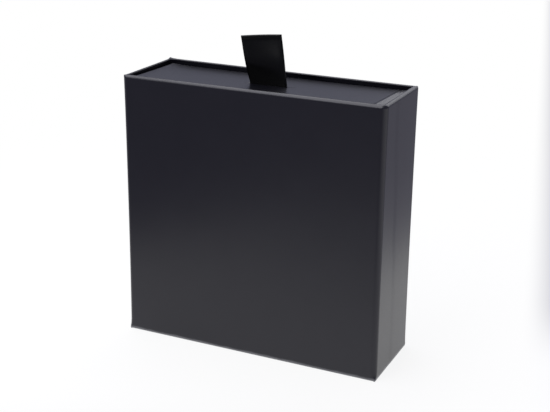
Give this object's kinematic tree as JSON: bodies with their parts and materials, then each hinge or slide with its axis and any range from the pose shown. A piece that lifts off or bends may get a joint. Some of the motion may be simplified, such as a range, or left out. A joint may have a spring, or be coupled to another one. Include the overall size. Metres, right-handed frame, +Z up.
{
  "type": "drawer gift box",
  "caption": "Rigid slide box in soft-touch black paper: a sleeve closed at its foot and a wrapped tray that draws out of the mouth by a folded satin ribbon tab.",
  "frame": {"origin": "middle of the foot, on the surface that the box stands on", "axes": "+Z up out of the sleeve's mouth, the way the drawer draws out; -Y out of the sleeve's front panel; +X to the right seen from the front"},
  "size_m": [0.15, 0.0494, 0.175],
  "materials": {
    "soft_touch_paper": "black matt soft-touch laminated cover paper",
    "lining_paper": "plain uncoated black paper",
    "greyboard": "bare recycled greyboard, hidden under the wrap",
    "stay_tape": "gummed kraft corner tape, hidden under the wrap",
    "satin_ribbon": "black satin ribbon with woven edges"
  },
  "bodies": {
    "sleeve": {"sleeve_front_board": "greyboard", "sleeve_back_board": "greyboard", "sleeve_left_board": "greyboard", "sleeve_right_board": "greyboard", "sleeve_end_board": "greyboard", "sleeve_corner_stays": "stay_tape", "sleeve_end_stays": "stay_tape", "sleeve_wrap": "soft_touch_paper", "sleeve_foot_cover": "soft_touch_paper", "sleeve_wall_lining": "lining_paper", "sleeve_end_lining": "lining_paper"},
    "drawer": {"drawer_face_board": "greyboard", "drawer_rear_board": "greyboard", "drawer_left_board": "greyboard", "drawer_right_board": "greyboard", "drawer_floor_board": "greyboard", "drawer_corner_stays": "stay_tape", "drawer_wrap": "soft_touch_paper", "drawer_floor_sheet": "lining_paper", "ribbon_tails": "satin_ribbon", "ribbon_patch": "lining_paper"},
    "ribbon": {"pull_ribbon": "satin_ribbon"}
  },
  "joints": [
    {"name": "drawer_slide", "type": "slide", "parent": "sleeve", "child": "drawer", "axis": [0, 0, 1], "range_m": [0, 0.155]},
    {"name": "ribbon_fold", "type": "hinge", "parent": "drawer", "child": "ribbon", "pos_m": [0.002, -0.00425, 0.14862], "axis": [1, 0, 0], "range_deg": [-75, 75], "stiffness_Nm_per_rad": 0.0015}
  ]
}
